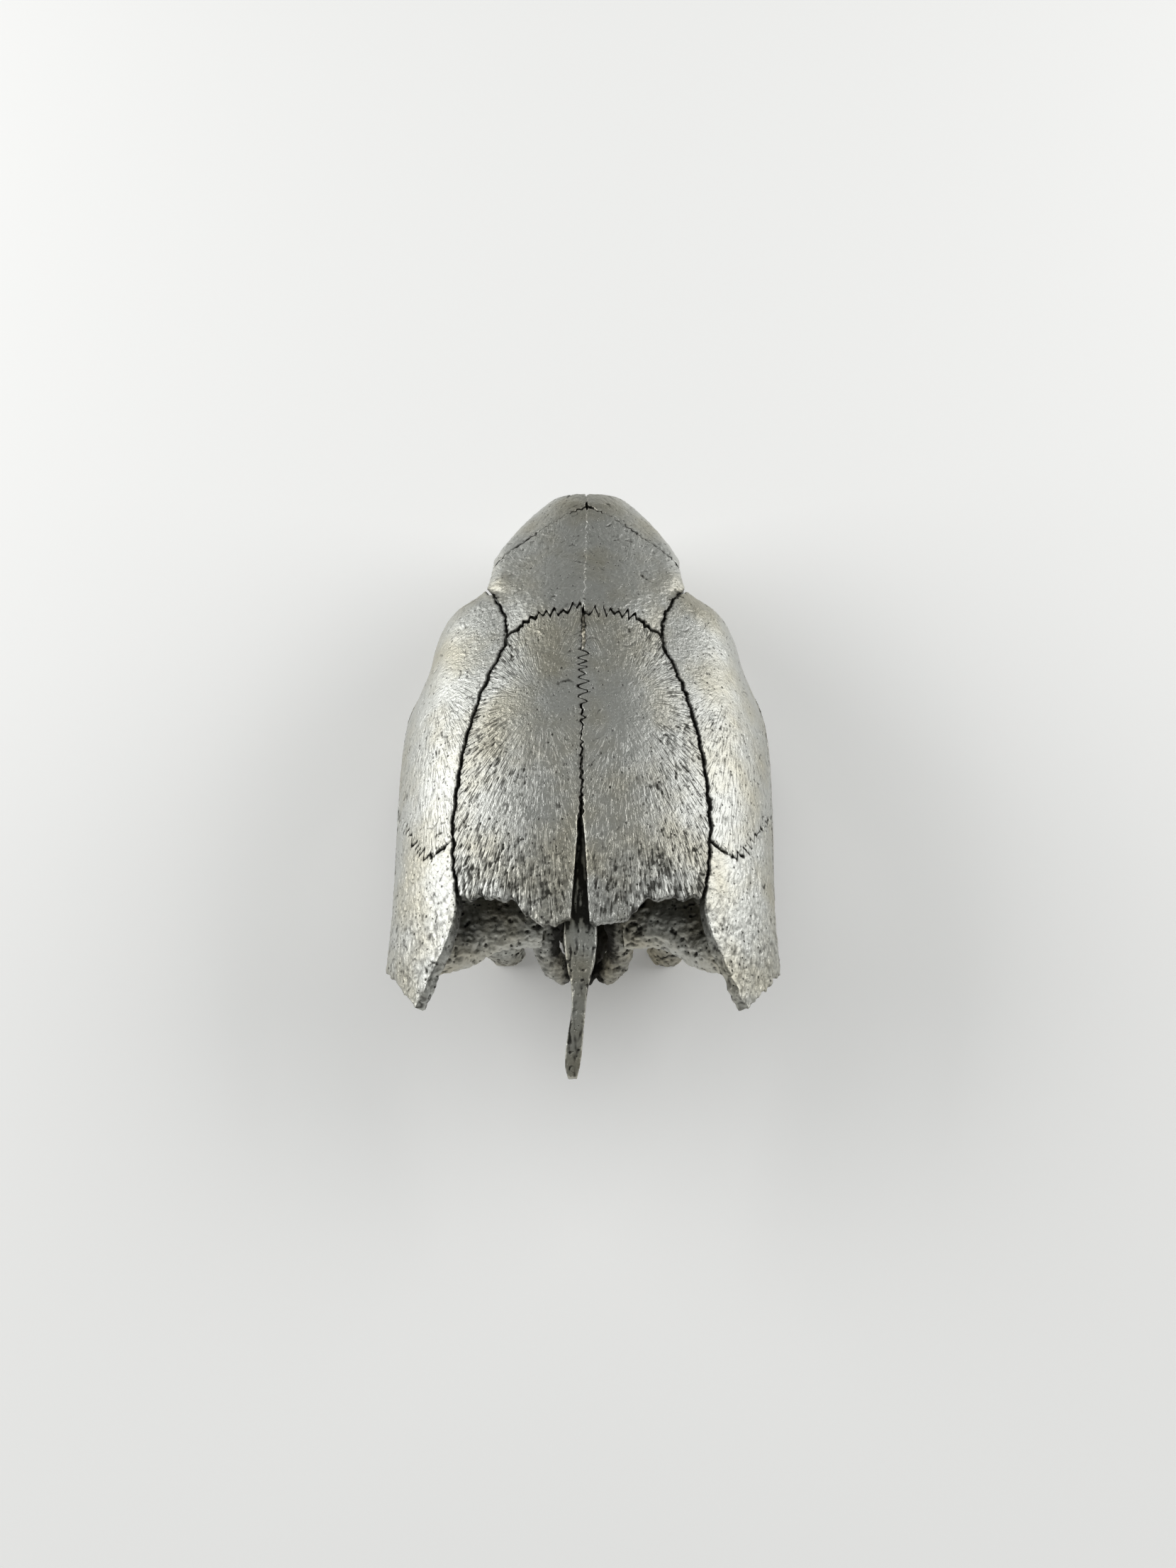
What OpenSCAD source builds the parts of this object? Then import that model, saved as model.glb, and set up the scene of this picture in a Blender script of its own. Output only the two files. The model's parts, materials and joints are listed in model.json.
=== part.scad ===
// Cranium of a sea turtle, taken apart into its separate bones.
// Frame: +Y towards the beak, +X towards the animal's right, +Z up.
// Origin: on the surface the skull stands on, under the middle of its bounding box.

/* [Overall size] */
// Length from the front of the beak to the end of the crest
skull_length = 222; // [185:1:255]
// Width across the squamosal bones
skull_width = 130; // [110:1:152]
// Height from the jaw edge to the top of the parietals
skull_height = 89; // [75:1:104]

/* [Bone thickness] */
// Thickness of the plates of the roof
roof_thickness = 4; // [3:0.1:5]
// Thickness of the cheek plates
cheek_thickness = 3.6; // [2.8:0.1:4.4]
// Thickness of the upper jaw plates
jaw_thickness = 4.4; // [3.4:0.1:5.4]
// Thickness of the shelves of the palate
shelf_thickness = 4; // [3:0.1:5]
// Thickness of the walls inside the skull
wall_thickness = 3; // [2.4:0.1:4]

/* [Sutures] */
// Open gap between two bones of the outer shell
suture_gap = 0.6; // [0.3:0.05:0.9]
// Open gap between two bones of the braincase
joint_gap = 0.4; // [0.2:0.05:0.8]
// Width of the open cleft between the rear ends of the parietals
cleft_width = 5.2; // [3:0.1:6.5]

/* [Crest] */
// Width of the leaf, the broad top of the crest behind the parietals
leaf_width = 11; // [7:0.1:13]
// Width of the neck behind the leaf
neck_width = 4.4; // [3:0.1:6]
// Width of the tail of the crest
tail_width = 5; // [3.5:0.1:6.5]
// Sideways bend at the end of the tail
tail_bend = -2.4; // [-4:0.1:4]

/* [Jaw joint] */
// Distance between the centres of the two condyles
condyle_spacing = 56; // [48:1:62]
// Width of one condyle
condyle_width = 15; // [12:0.5:18]
// Radius of the mouth of the ear funnel
ear_radius = 12; // [9:0.5:12.5]

/* [Hidden] */

// Sizes of the skull that the hand-set points below are written for
REF_LENGTH = 222;
REF_WIDTH = 130;
REF_HEIGHT = 89;
SCALE = [skull_width / REF_WIDTH, skull_length / REF_LENGTH, skull_height / REF_HEIGHT];

// Colours of the plated metal
SILVER = [0.72, 0.73, 0.70];
TARNISH = [0.50, 0.50, 0.47];

// Larger than the skull in every direction
FAR = 400;
// Step for measuring slopes on the shell, in net steps
SLOPE_STEP = 0.04;

// Net of the outer shell, right half. A row runs from the midline (column 0) down to the lower edge (column 5);
// column 2 follows the side of the parietal, columns 3 and 4 the upper and lower rim of the orbit.
SHELL = [
    [[0, -88, 80], [18, -88, 79], [36, -88, 74], [48, -87.5, 65], [57, -84, 52.5], [63, -78, 41]],
    [[0, -60, 84.5], [19, -60, 83.5], [37.5, -60, 78.5], [50.5, -60, 68], [60.5, -62, 53], [65, -66, 39]],
    [[0, -36, 87], [21, -36, 86], [40.5, -36, 79.5], [53, -36, 68], [61.5, -36, 50], [63.5, -38, 24]],
    [[0, -6, 88.5], [19.5, -6, 87.5], [38, -6, 81], [53, -6, 69], [62, -6, 48], [63.5, -6, 19]],
    [[0, 18, 87], [17, 18, 86], [32, 18, 80.5], [49.5, 18, 69.5], [61, 18, 46.5], [62.5, 17, 16]],
    [[0, 40, 83.5], [13, 39, 82.5], [25, 36.6, 78.5], [46.5, 39, 67.5], [58.5, 33.5, 41], [58, 32, 9.5]],
    [[0, 50, 81], [13, 50, 80], [25.2, 49, 76], [44, 54.5, 65], [53.5, 46, 37], [54, 45, 5]],
    [[0, 60, 77.4], [12.5, 60, 76.4], [24.5, 60, 73], [34.2, 61, 66.5], [46, 58, 31], [48, 56, 2]],
    [[0, 81, 69.8], [11.5, 81, 68.8], [22.2, 80.5, 65.2], [31.2, 79.5, 59.6], [34.8, 79, 30], [37.5, 78, 0]],
    [[0, 101.5, 62], [8.8, 101, 61], [16.5, 99, 57.5], [23, 95.5, 51], [26.5, 93, 28.5], [28.5, 92.5, 0]],
    [[0, 111.8, 48.5], [6.4, 111.3, 47.5], [12.5, 109, 44], [17, 105.5, 38], [19, 102.5, 20], [20.2, 102, 0]],
    [[0, 114.6, 18], [4, 114.3, 17.5], [7.5, 113, 15], [10.5, 111, 11.5], [12.8, 109, 6], [14, 108, 0]],
    [[0, 115, 0], [2.2, 114.9, 0], [4.4, 114.4, 0], [6.6, 113.5, 0], [8.6, 112.2, 0], [10.4, 110.8, 0]]
];
// Moves the net so that the origin is under the middle of the bounding box
CENTRE = [0, -4, 0];

// Sutures and rims of the right half, as [row, column] places on the net
CLEFT_ROWS = [0.8, 1.2, 1.6, 2, 2.4];
PARIETAL_REAR = [[0.8, 0.5], [0.84, 0.8], [1.02, 1], [1.13, 1.35], [1.17, 2]];
PARIETAL_FRONTAL = [[5.32, 0], [5.36, 0.7], [5.38, 1.3], [5.25, 1.7], [5, 2]];
FRONTAL_PREFRONTAL = [[8.68, 0], [8.4, 1], [8, 2], [7.57, 3]];
NOSTRIL_TOP = [[9.2, 0], [9.25, 0.8], [9.4, 1.5], [9.6, 2]];
NOSTRIL_SIDE = [[9.6, 2], [10.1, 2.15], [10.7, 2.3]];
NOSTRIL_FLOOR = [[10.9, 0], [10.85, 1.2], [10.7, 2.3]];
ORBIT_FRONT = [[7.57, 3], [8, 3.15], [8.28, 3.5]];
ORBIT_FLOOR = [[6, 4.32], [7.1, 4.12], [7.8, 4], [8.28, 3.5]];
ORBIT_REAR = [[7, 3], [6.4, 3.1], [5.9, 3.3], [5.5, 3.65], [5.3, 4.1]];
SQUAMOSAL_POSTORBITAL = [[2, 2], [1.85, 2.6], [2.3, 3.3], [2.7, 4]];
SQUAMOSAL_INNER = [[0.02, 3.35], [0.25, 2.95], [0.5, 2.52], [0.85, 2.1], [1.17, 2]];
SQUAMOSAL_REAR = [[0.02, 3.35], [0.4, 4], [0.8, 4.75], [1.25, 4.4], [1.7, 4.15]];
JUGAL_MAXILLA = [[6, 4.32], [5.84, 4.65], [5.6, 5]];
JAW_EDGE_FRONT = [[12, 0], [11.97, 1.5], [11.9, 3], [11.8, 4.3], [11.5, 5]];

function mix(a, b, t) = a + (b - a) * t;
function unit(v) = v / norm(v);
function clamp(v, low, high) = min(max(v, low), high);
function smooth(t) = let (u = clamp(t, 0, 1)) u * u * (3 - 2 * u);
function placed(p) = [(p.x + CENTRE.x) * SCALE.x, (p.y + CENTRE.y) * SCALE.y, (p.z + CENTRE.z) * SCALE.z];

function catmull(a, b, c, d, t) =
    0.5 * (2 * b + (c - a) * t + (2 * a - 5 * b + 4 * c - d) * t * t + (3 * b - a - 3 * c + d) * t * t * t);

// A list's value at any whole place, carried on past either end by reflection
function pick(list, i) =
    let (last = len(list) - 1)
    i < 0 ? 2 * list[0] - list[1] : i > last ? 2 * list[last] - list[last - 1] : list[i];

// Smooth curve through a list, with s from 0 to 1 over its whole length
function curve(list, s) =
    let (steps = len(list) - 1, i = clamp(floor(s * steps), 0, steps - 1), t = s * steps - i)
    catmull(pick(list, i - 1), list[i], list[i + 1], pick(list, i + 2), t);

// A row of the net at column c; left of the midline it is the mirror image
function row_pick(row, i) = i < 0 ? [-row[-i].x, row[-i].y, row[-i].z] : pick(row, i);
function row_at(row, c) =
    let (i = clamp(floor(c), 0, len(row) - 2))
    catmull(row_pick(row, i - 1), row[i], row[i + 1], row_pick(row, i + 2), c - i);

// Point of the outer shell at row r and column c
function shell(r, c) =
    let (last = len(SHELL) - 1, i = clamp(floor(r), 0, last - 1),
         before = i == 0 ? 2 * row_at(SHELL[0], c) - row_at(SHELL[1], c) : row_at(SHELL[i - 1], c),
         after = i + 2 > last ? 2 * row_at(SHELL[last], c) - row_at(SHELL[last - 1], c) : row_at(SHELL[i + 2], c))
    placed(catmull(before, row_at(SHELL[i], c), row_at(SHELL[i + 1], c), after, r - i));

function outward(r, c) =
    unit(cross(shell(r, c + SLOPE_STEP) - shell(r, c - SLOPE_STEP),
               shell(r + SLOPE_STEP, c) - shell(r - SLOPE_STEP, c)));

// A suture or rim in equal steps; both of the bones that meet there use the same places
function seam(points, steps) = [for (k = [0 : steps]) curve(points, k / steps)];
function back(list) = [for (k = [len(list) - 1 : -1 : 0]) list[k]];
// Two runs of places, the second of which starts where the first ends
function chain(a, b) = concat(a, [for (k = [1 : len(b) - 1]) b[k]]);

// Places inside four edges: index i runs away from the midline, index j runs forwards
function patch(rear, front, inner, outer) =
    let (nx = len(rear) - 1, ny = len(inner) - 1)
    [for (j = [0 : ny]) [for (i = [0 : nx]) let (s = i / nx, t = j / ny)
        mix(rear[i], front[i], t) + mix(inner[j], outer[j], s)
        - mix(mix(rear[0], rear[nx], s), mix(front[0], front[nx], s), t)]];

function on_shell(place) = shell(place[0], place[1]);

// A place of the patch, drawn in by half a suture where it is on the edge. The distance is measured square to the edge.
function drawn_in(places, i, j) =
    let (nx = len(places[0]) - 1, ny = len(places) - 1, ii = clamp(i, 1, nx - 1), jj = clamp(j, 1, ny - 1),
         here = places[j][i], inner = places[jj][ii], way = on_shell(inner) - on_shell(here))
    i == ii && j == jj ? here
    : i != ii && j != jj ? mix(here, inner, suture_gap / norm(way))
    : let (edge = i == ii ? on_shell(places[j][i + 1]) - on_shell(places[j][i - 1])
                          : on_shell(places[j + 1][i]) - on_shell(places[j - 1][i]))
      mix(here, inner, min(0.8, suture_gap / 2 / norm(cross(unit(edge), way))));

// Faces of a closed slab made of two grids of (nx + 1) by (ny + 1) points, the outer grid first
function slab_faces(nx, ny) =
    let (row = nx + 1, layer = row * (ny + 1), border = concat(
        [for (i = [0 : nx - 1]) i], [for (j = [0 : ny - 1]) j * row + nx],
        [for (i = [nx : -1 : 1]) ny * row + i], [for (j = [ny : -1 : 1]) j * row]))
    concat(
        [for (j = [0 : ny - 1], i = [0 : nx - 1]) let (a = j * row + i) each
            [[a, a + row, a + row + 1], [a, a + row + 1, a + 1]]],
        [for (j = [0 : ny - 1], i = [0 : nx - 1]) let (a = layer + j * row + i) each
            [[a, a + row + 1, a + row], [a, a + 1, a + row + 1]]],
        [for (k = [0 : len(border) - 1]) let (a = border[k], b = border[(k + 1) % len(border)]) each
            [[a, b, b + layer], [a, b + layer, a + layer]]]);

// A bone of the outer shell: the patch inside four edges, thickened inwards
module shell_bone(rear, front, inner, outer, thickness) {
    nx = len(rear) - 1;
    ny = len(inner) - 1;
    grid = patch(rear, front, inner, outer);
    places = [for (j = [0 : ny], i = [0 : nx]) drawn_in(grid, i, j)];
    outside = [for (p = places) shell(p[0], p[1])];
    inside = [for (p = places) shell(p[0], p[1]) - thickness * outward(p[0], p[1])];
    polyhedron(concat(outside, inside), slab_faces(nx, ny), convexity = 6);
}

// A slab between two curves of points, of one thickness measured along a direction
module ruled_slab(from, to, thickness, direction, nx = 4, ny = 6) {
    half = thickness / 2 * unit(direction);
    middle = [for (j = [0 : ny], i = [0 : nx]) placed(mix(curve(from, j / ny), curve(to, j / ny), i / nx))];
    polyhedron(concat([for (p = middle) p + half], [for (p = middle) p - half]), slab_faces(nx, ny), convexity = 4);
}

// Skin over a stack of rings that each have the same number of points, closed at both ends
module ring_skin(rings) {
    n = len(rings[0]);
    last = (len(rings) - 1) * n;
    points = [for (ring = rings) each ring];
    sides = [for (k = [0 : len(rings) - 2], i = [0 : n - 1]) let (a = k * n + i, b = k * n + (i + 1) % n) each
        [[a, b, b + n], [a, b + n, a + n]]];
    ends = [[for (i = [n - 1 : -1 : 0]) i], [for (i = [0 : n - 1]) last + i]];
    polyhedron(points, concat(sides, ends), convexity = 6);
}

// A rounded limb along a smooth curve. Each stop is [x, y, z, half width, half height];
// the width lies along the given direction and the height at right angles to it.
module limb(stops, wide = [1, 0, 0], rings = 8, sides = 12) {
    step = 0.01;
    function centre(s) = let (p = curve(stops, s)) [p[0], p[1], p[2]];
    ring_list = [for (k = [0 : rings])
        let (s = k / rings, here = curve(stops, s),
             ahead = unit(centre(min(s + step, 1)) - centre(max(s - step, 0))),
             u = unit(wide - ahead * (wide * ahead)), v = cross(ahead, u))
        [for (i = [0 : sides - 1]) let (a = -360 * i / sides)
            placed(centre(s) + u * here[3] * cos(a) + v * here[4] * sin(a))]];
    ring_skin(ring_list);
}

module half(side) {
    if (side == "left") mirror([1, 0, 0]) children();
    else children();
}

// Everything on the +X side of the plane x = gap / 2, which keeps the two halves of a pair apart
module right_of_midline(gap) {
    intersection() {
        children();
        translate([gap / 2, -FAR / 2, -FAR / 2]) cube(FAR);
    }
}

// Cuts off what would lie under the surface the skull stands on
module above_ground() {
    difference() {
        children();
        translate([-FAR / 2, -FAR / 2, -FAR]) cube(FAR);
    }
}

// ---- sutures and rims in steps ----

CLEFT = [for (r = CLEFT_ROWS) [r, (2.4 - r) / 1.6 * cleft_width / 2 / (19 * SCALE.x)]];
PARIETAL_MIDLINE = seam(concat(CLEFT, [[3.1, 0], [3.8, 0], [4.5, 0], [5.1, 0], PARIETAL_FRONTAL[0]]), 16);
PARIETAL_REAR_EDGE = seam(concat([CLEFT[0]], PARIETAL_REAR), 8);
PARIETAL_FRONT = seam(PARIETAL_FRONTAL, 8);
BESIDE_SQUAMOSAL = seam([[1.17, 2], [2, 2]], 4);
BESIDE_POSTORBITAL = seam([[2, 2], [5, 2]], 12);
BESIDE_FRONTAL = seam([[5, 2], [5.5, 2.06], [6, 2.16], [6.5, 2.4], [7, 3]], 4);
FRONTAL_FRONT = seam(FRONTAL_PREFRONTAL, 8);
PREFRONTAL_MAXILLA = seam([[9.6, 2], [8.95, 2.75], [8.28, 3.5]], 4);
SQUAMOSAL_FRONT = seam(SQUAMOSAL_POSTORBITAL, 8);
SQUAMOSAL_CHEEK = seam([[1.7, 4.15], [2.7, 4]], 8);
POSTORBITAL_CHEEK = seam([[2.7, 4], [3.9, 4]], 8);
POSTORBITAL_JUGAL = seam([[3.9, 4], [5.3, 4.1]], 8);
CHEEK_SEAM = seam([[3.9, 4], [3.7, 5]], 6);
MAXILLA_REAR = seam(JUGAL_MAXILLA, 4);
MAXILLA_FRONT = seam([[10.7, 2.3], [11.5, 5]], 4);

// ---- roof and cheeks ----

module parietal(side) {
    color(SILVER) half(side) union() {
        shell_bone(PARIETAL_REAR_EDGE, PARIETAL_FRONT, PARIETAL_MIDLINE,
                   chain(BESIDE_SQUAMOSAL, BESIDE_POSTORBITAL), roof_thickness);
        // side wall of the braincase, hanging under the plate
        ruled_slab([[11, -16, 85], [10.5, 2, 85.5], [9.5, 18, 84], [9, 30, 82]],
                   [[13, -12, 54], [12, 2, 40], [11, 16, 33], [10, 26, 32]], wall_thickness, [1, 0, 0]);
    }
}

module frontal(side) {
    color(SILVER) half(side)
        shell_bone(PARIETAL_FRONT, FRONTAL_FRONT, seam([PARIETAL_FRONTAL[0], FRONTAL_PREFRONTAL[0]], 6),
                   chain(BESIDE_FRONTAL, seam([[7, 3], [7.57, 3]], 2)), roof_thickness);
}

module prefrontal(side) {
    color(SILVER) half(side) union() {
        shell_bone(FRONTAL_FRONT, chain(seam(NOSTRIL_TOP, 4), PREFRONTAL_MAXILLA), seam([[8.68, 0], [9.2, 0]], 3),
                   seam(ORBIT_FRONT, 3), roof_thickness);
        // wall in front of the orbit, down to the vomer
        ruled_slab([[26, 82.5, 57.5], [17, 88, 60.5], [8, 92.5, 61.2]], [[22, 76, 28], [13, 79, 26], [5.5, 80, 25.5]],
                   wall_thickness, [0.2, 1, 0.2], 5, 4);
    }
}

module postorbital(side) {
    color(SILVER) half(side) shell_bone(SQUAMOSAL_FRONT, seam(ORBIT_REAR, 8), chain(BESIDE_POSTORBITAL, BESIDE_FRONTAL),
        chain(POSTORBITAL_CHEEK, POSTORBITAL_JUGAL), roof_thickness);
}

module squamosal(side) {
    color(SILVER) half(side) shell_bone(seam(SQUAMOSAL_REAR, 8), SQUAMOSAL_FRONT,
        chain(seam(SQUAMOSAL_INNER, 4), BESIDE_SQUAMOSAL), SQUAMOSAL_CHEEK, roof_thickness);
}

module quadratojugal(side) {
    color(SILVER) half(side) shell_bone(seam([[1.7, 4.15], [1.9, 4.6], [2.1, 5]], 6), CHEEK_SEAM,
        chain(SQUAMOSAL_CHEEK, POSTORBITAL_CHEEK), seam([[2.1, 5], [3.7, 5]], 16), cheek_thickness);
}

module jugal(side) {
    color(SILVER) half(side) shell_bone(CHEEK_SEAM, chain(seam([[5.3, 4.1], [6, 4.32]], 2), MAXILLA_REAR),
        POSTORBITAL_JUGAL, seam([[3.7, 5], [5.6, 5]], 8), cheek_thickness);
}

module maxilla(side) {
    color(SILVER) half(side) above_ground() union() {
        shell_bone(MAXILLA_REAR, MAXILLA_FRONT,
                   chain(chain(seam(ORBIT_FLOOR, 8), back(PREFRONTAL_MAXILLA)), seam(NOSTRIL_SIDE, 4)),
                   seam([[5.6, 5], [11.5, 5]], 16), jaw_thickness);
        // shelf of the palate behind the cutting edge
        ruled_slab([[32, 46, 20], [20, 58, 20.5], [11, 72, 19.5], [6.2, 84, 18], [6.2, 92, 16.5]],
                   [[50, 48, 15], [42.5, 62, 13], [34, 78, 12], [24.5, 92, 12], [18, 97.5, 12]],
                   shelf_thickness, [0, 0, 1], 5, 8);
    }
}

module premaxilla(side) {
    color(SILVER) half(side) union() {
        shell_bone(seam(NOSTRIL_FLOOR, 6), seam(JAW_EDGE_FRONT, 6), seam([[10.9, 0], [12, 0]], 4),
                   MAXILLA_FRONT, jaw_thickness);
        ruled_slab([[0.5, 112.5, 12], [5, 111.5, 12], [7.5, 107.5, 12]], [[0.5, 95, 16.5], [5.5, 95, 16], [10.5, 98.5, 14]],
                   shelf_thickness, [0, 0, 1], 4, 4);
    }
}

// ---- braincase, ear and palate ----

// Stations along the crest, from the braincase to the tail: [y, bottom, top]
CREST = [[-20, 66, 80], [-40, 60, 79.6], [-53, 54, 79.4], [-61, 51, 79.4], [-69, 52, 78.4], [-76, 54, 76.6], [-82, 55.5, 74.4],
         [-88.5, 56, 71.4], [-95, 56, 68], [-100.5, 55, 65], [-105, 55.5, 62.8], [-107, 57.5, 61]];
// Heights within a station, and how much wider than the blade the crest is there
CREST_PROFILE = [[0, 0], [0.12, 0], [0.4, 0], [0.65, 0.32], [0.84, 0.86], [0.94, 1], [1, 0.88]];

module crest() {
    leaf = leaf_width / SCALE.x;
    neck = neck_width / SCALE.x;
    tail = tail_width / SCALE.x;
    blade = wall_thickness / SCALE.x;
    tops = [blade, blade * 1.1, blade * 1.5, leaf * 0.92, leaf, leaf * 0.82, neck * 1.15, neck * 0.95,
            tail, tail * 1.05, tail, tail * 0.6];
    levels = len(CREST_PROFILE);
    ring_skin([for (k = [len(CREST) - 1 : -1 : 0])
        let (y = CREST[k][0], low = CREST[k][1], high = CREST[k][2],
             bend = tail_bend / SCALE.x * smooth((-82 - y) / 24))
        [for (i = [0 : 2 * levels - 1])
            let (j = i < levels ? i : 2 * levels - 1 - i, sign = i < levels ? 1 : -1,
                 thin = min(blade, tops[k]), reach = mix(thin, tops[k], CREST_PROFILE[j][1]) / 2,
                 edge = j == 0 ? 0.5 : 1)
            placed([bend + sign * reach * edge, y, mix(low, high, CREST_PROFILE[j][0])])]]);
}

// Limbs of the braincase, ear and palate: [x, y, z, half width, half height]
WINGS = [[-17, -40, 52, 8, 4], [-9, -43, 56, 10, 5], [0, -44, 59, 11, 6], [9, -43, 56, 10, 5], [17, -40, 52, 8, 4]];
EXOCCIPITAL = [[9, -47, 50, 4, 4], [12, -53, 43, 6, 4.5], [12, -57.5, 35, 5, 4.5], [9, -60.5, 28.5, 5, 4], [6, -61, 24, 4, 4]];
BASIOCCIPITAL = [[0, -34, 19.5, 7, 3.5], [0, -45, 19.5, 10, 4.5], [0, -54, 21, 6, 4], [0, -60, 23, 4.4, 3.6], [0, -64, 24.5, 3, 2.4]];
OPISTHOTIC = [[13, -50.5, 45, 9.5, 7.5], [27, -50, 46.5, 10.5, 7.5], [37, -54.5, 47.5, 11, 8], [44, -61, 50, 10, 8.5], [49, -67, 52, 5, 6]];
PROOTIC = [[12, -22, 40, 11, 9], [20, -29, 43, 14, 11], [28, -34, 45, 14, 10], [36, -39, 46, 6, 8]];
QUADRATE = [[44, -42, 40, 9, 5], [41, -41, 28, 9, 6], [35, -43, 15, 8.5, 5.5]];
PTERYGOID = [[11, 33, 24, 11, 2.4], [8, 18, 23, 9, 2.4], [6.5, 2, 22, 7, 2.4], [12, -14, 21, 8, 3], [20, -28, 19, 7, 4], [33, -39, 18, 5, 5]];
BASISPHENOID = [[0, -4, 27, 3, 2.5], [0, -16, 27, 6, 4], [0, -28, 25, 8, 5], [0, -38, 22, 8, 4]];
PALATINE = [[9.5, 64, 21.5, 5, 2], [13, 49, 24.5, 9, 2.2], [14, 34, 25, 10.5, 2.2]];
VOMER = [[0, 94, 16.5, 4.8, 2.2], [0, 80, 19, 5, 3], [0, 64, 22.5, 3, 4], [0, 50, 25.5, 5, 2.4]];

// A limb made thicker all round by the gap between two bones
function spot(stop) = [stop[0], stop[1], stop[2]];
function grown(stops) =
    let (last = len(stops) - 1)
    [for (k = [0 : last])
        let (p = stops[k], next = k == 0 ? 1 : last - 1,
             end = k == 0 || k == last ? joint_gap * unit(spot(p) - spot(stops[next])) : [0, 0, 0])
        [p[0] + end.x, p[1] + end.y, p[2] + end.z, p[3] + joint_gap, p[4] + joint_gap]];

module supraoccipital() {
    color(SILVER) union() {
        crest();
        limb(WINGS, wide = [0, 1, 0], rings = 10);
    }
}

module basioccipital() {
    color(TARNISH) limb(BASIOCCIPITAL, rings = 10);
}

module exoccipital(side) {
    color(TARNISH) half(side) difference() {
        limb(EXOCCIPITAL, wide = [0, 1, 0], rings = 9);
        limb(grown(WINGS), wide = [0, 1, 0], rings = 10);
        limb(grown(BASIOCCIPITAL), rings = 10);
    }
}

module opisthotic(side) {
    color(TARNISH) half(side) difference() {
        limb(OPISTHOTIC, wide = [0, 1, 0], rings = 9);
        limb(grown(WINGS), wide = [0, 1, 0], rings = 10);
        limb(grown(EXOCCIPITAL), wide = [0, 1, 0], rings = 9);
    }
}

module prootic(side) {
    color(TARNISH) half(side) difference() {
        limb(PROOTIC, wide = [0, 1, 0], rings = 8);
        limb(grown(WINGS), wide = [0, 1, 0], rings = 10);
        limb(grown(OPISTHOTIC), wide = [0, 1, 0], rings = 9);
        limb(grown(EXOCCIPITAL), wide = [0, 1, 0], rings = 9);
    }
}

// Shaft of the quadrate, from the ear down to the jaw joint
module quadrate_shaft(extra = 0) {
    half_spacing = condyle_spacing / 2 / SCALE.x;
    half_width = condyle_width / 2 / SCALE.x + extra;
    limb(concat(extra > 0 ? grown(QUADRATE) : QUADRATE,
                [[half_spacing, -46, 6, half_width, 5 + extra], [half_spacing, -46.5, -0.5, half_width - 2, 4 + extra]]),
         wide = [1, 0, 0], rings = 9);
}

module quadrate(side) {
    mouth = ear_radius;
    throat = ear_radius * 0.62;
    deep = 14 * SCALE.x;
    color(TARNISH) half(side) above_ground() difference() {
        union() {
            // funnel of the ear, open to the side
            translate(placed([42.5, -42, 37])) rotate([0, 90, -14]) rotate_extrude($fn = 24)
                polygon([[0, 0], [3, 0], [throat, deep * 0.36], [mouth - 1, deep * 0.8], [mouth - 1, deep],
                         [mouth - 3.4, deep], [throat - 2.6, deep * 0.54], [0, deep * 0.23]]);
            quadrate_shaft();
        }
        limb(grown(OPISTHOTIC), wide = [0, 1, 0], rings = 9);
        limb(grown(PROOTIC), wide = [0, 1, 0], rings = 8);
    }
}

module basisphenoid() {
    color(TARNISH) difference() {
        limb(BASISPHENOID, rings = 7);
        limb(grown(BASIOCCIPITAL), rings = 10);
    }
}

module pterygoid(side) {
    color(TARNISH) half(side) right_of_midline(joint_gap) difference() {
        limb(PTERYGOID, wide = [1, 0, 0], rings = 12);
        limb(grown(BASISPHENOID), rings = 7);
        limb(grown(BASIOCCIPITAL), rings = 10);
        quadrate_shaft(joint_gap);
    }
}

module palatine(side) {
    color(TARNISH) half(side) right_of_midline(joint_gap) difference() {
        limb(PALATINE, wide = [1, 0, 0], rings = 6);
        limb(grown(PTERYGOID), wide = [1, 0, 0], rings = 12);
        limb(grown(VOMER), rings = 7);
    }
}

module vomer() {
    color(TARNISH) limb(VOMER, rings = 7);
}

for (side = ["right", "left"]) {
    parietal(side);
    frontal(side);
    prefrontal(side);
    postorbital(side);
    squamosal(side);
    jugal(side);
    quadratojugal(side);
    maxilla(side);
    premaxilla(side);
    quadrate(side);
    prootic(side);
    opisthotic(side);
    exoccipital(side);
    pterygoid(side);
    palatine(side);
}
supraoccipital();
basioccipital();
basisphenoid();
vomer();
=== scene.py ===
# %% [markdown]
# # The skull of a sea turtle, plated in silver
#
# The frame brings 34 plain bones, in the right places and at the right sizes.
# This lesson turns each one into plated bone: rounded rims, sutures that lock
# into each other, streaks that fan out from where the bone grew, pits and pores.
# All the work is in metres in Blender, and in millimetres wherever numbers are read.

# %% Load the frame
import json
import math

import bpy
import numpy as np
from mathutils import Matrix, Vector
from mathutils.bvhtree import BVHTree

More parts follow.
